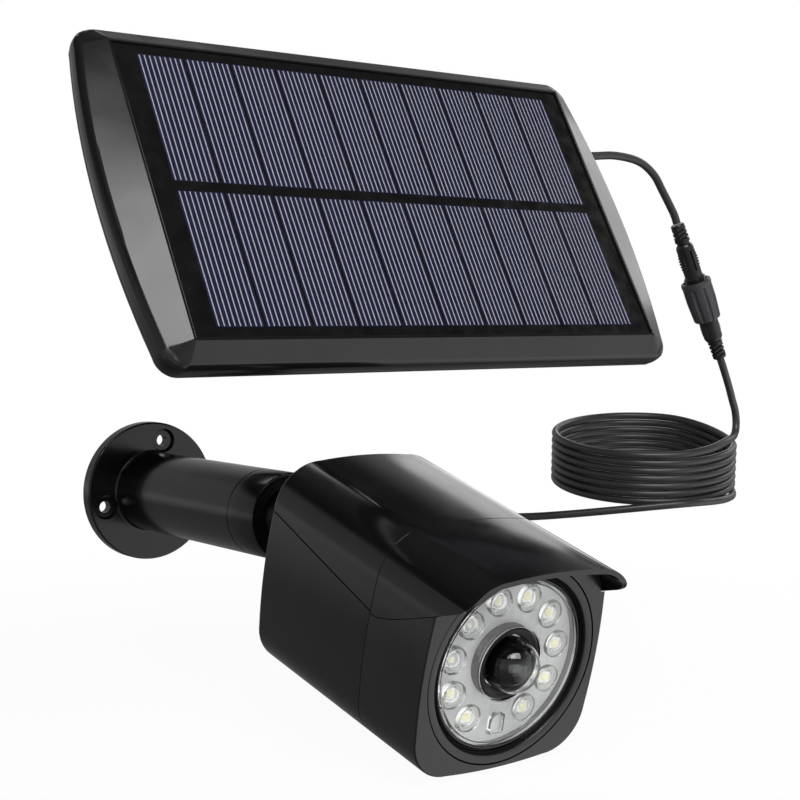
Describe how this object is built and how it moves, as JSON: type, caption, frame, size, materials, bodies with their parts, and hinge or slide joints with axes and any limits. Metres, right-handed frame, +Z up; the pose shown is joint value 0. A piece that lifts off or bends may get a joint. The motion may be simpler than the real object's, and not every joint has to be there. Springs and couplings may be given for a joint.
{
  "type": "solar-powered security camera",
  "caption": "Bullet security camera with a ring of LEDs on a ball-jointed wall bracket, fed by a lead from a tilting solar panel on its own wall arm.",
  "frame": {"origin": "centre of the camera bracket's back face, on the wall", "axes": "+X to the right along the wall seen from the front, +Y into the wall, +Z up"},
  "size_m": [0.4361, 0.308, 0.2827],
  "materials": {
    "bracket_plastic": "black moulded plastic, semi gloss",
    "shell_plastic": "black moulded plastic, glossy",
    "face_plastic": "dark grey moulded plastic, satin",
    "seat_plastic": "black nylon, matt",
    "steel": "zinc plated steel, satin",
    "rubber": "black rubber, matt",
    "window_glass": "clear, polished",
    "led_glass": "clear moulded lens",
    "led_plate": "light grey board with a white mask",
    "camera_black": "black, polished",
    "circuit_board": "green solder mask",
    "battery_wrap": "shrink film",
    "inner_plastic": "black, matt",
    "panel_plastic": "dark grey moulded plastic, glossy",
    "panel_back_plastic": "black moulded plastic, fine texture",
    "solar_cells": "solar cells under clear resin",
    "connector_plastic": "black moulded plastic, fine texture",
    "nut_plastic": "grey moulded plastic",
    "cable_jacket": "black cable jacket, satin"
  },
  "bodies": {
    "bracket": {"wall_bracket": "bracket_plastic", "tube_grommet": "rubber", "panel_arm": "panel_back_plastic", "hinge_bolt": "steel", "plug_body": "connector_plastic", "socket_body": "connector_plastic", "panel_lead": "cable_jacket", "feed_lead": "cable_jacket", "cable_coil": "cable_jacket", "tail_lead": "cable_jacket"},
    "lock_ring": {"lock_ring": "bracket_plastic"},
    "ball_seat": {"ball_seat": "seat_plastic"},
    "ball_stud": {"ball_stud": "steel"},
    "housing": {"rear_shell": "shell_plastic", "top_cover": "shell_plastic", "front_shell": "face_plastic", "visor": "shell_plastic", "bezel_ring": "face_plastic", "window_seal": "rubber", "window": "window_glass", "led_board": "led_plate", "led_lens_01": "led_glass", "led_lens_02": "led_glass", "led_lens_03": "led_glass", "led_lens_04": "led_glass", "led_lens_05": "led_glass", "led_lens_06": "led_glass", "led_lens_07": "led_glass", "led_lens_08": "led_glass", "led_lens_09": "led_glass", "led_lens_10": "led_glass", "photocell_cover": "led_glass", "lens_barrel": "camera_black", "lens_dome": "window_glass", "camera_lens": "camera_black", "sensor_board": "circuit_board", "parting_seal": "rubber", "battery_left": "battery_wrap", "battery_right": "battery_wrap", "battery_tray": "inner_plastic", "main_board": "circuit_board", "stud_nut": "steel", "housing_screw_1": "steel", "housing_screw_2": "steel", "housing_screw_3": "steel", "housing_screw_4": "steel"},
    "power_button": {"power_button": "rubber"},
    "panel": {"panel_frame": "panel_plastic", "solar_laminate": "solar_cells", "panel_back": "panel_back_plastic", "junction_box": "panel_back_plastic", "cable_gland": "connector_plastic", "panel_clevis": "panel_back_plastic", "panel_screw_1": "steel", "panel_screw_2": "steel", "panel_screw_3": "steel", "panel_screw_4": "steel"},
    "tilt_knob": {"tilt_knob": "panel_back_plastic"},
    "coupling_nut": {"coupling_nut": "nut_plastic"}
  },
  "joints": [
    {"name": "lock_ring_turn", "type": "hinge", "parent": "bracket", "child": "lock_ring", "pos_m": [0, -0.125, 0], "axis": [0, 1, 0], "range_deg": [0, 360]},
    {"name": "ball_turn", "type": "hinge", "parent": "bracket", "child": "ball_seat", "pos_m": [0, -0.13, 0], "axis": [0, 1, 0], "range_deg": [-90, 90]},
    {"name": "ball_tilt", "type": "hinge", "parent": "ball_seat", "child": "ball_stud", "pos_m": [0, -0.13, 0], "axis": [1, 0, 0], "range_deg": [-15, 25]},
    {"name": "housing_twist", "type": "hinge", "parent": "ball_stud", "child": "housing", "pos_m": [0, -0.13, 0], "axis": [0, -0.9715, -0.2368], "range_deg": [-90, 90]},
    {"name": "power_button_press", "type": "slide", "parent": "housing", "child": "power_button", "axis": [0, -0.2368, 0.9715], "range_m": [0, 0.0012], "stiffness_N_per_m": 300, "springref_m": -0.0005},
    {"name": "panel_tilt", "type": "hinge", "parent": "bracket", "child": "panel", "pos_m": [0.0302, -0.13582, 0.11622], "axis": [-1, 0, 0], "range_deg": [-5, 40], "deforming": ["panel_lead"]},
    {"name": "tilt_knob_turn", "type": "hinge", "parent": "bracket", "child": "tilt_knob", "pos_m": [0.0302, -0.13582, 0.11622], "axis": [1, 0, 0], "range_deg": [0, 360]},
    {"name": "coupling_nut_turn", "type": "hinge", "parent": "bracket", "child": "coupling_nut", "pos_m": [0.2452, -0.1378, 0.1379], "axis": [0.3982, -0.0483, -0.916], "range_deg": [0, 360]}
  ]
}
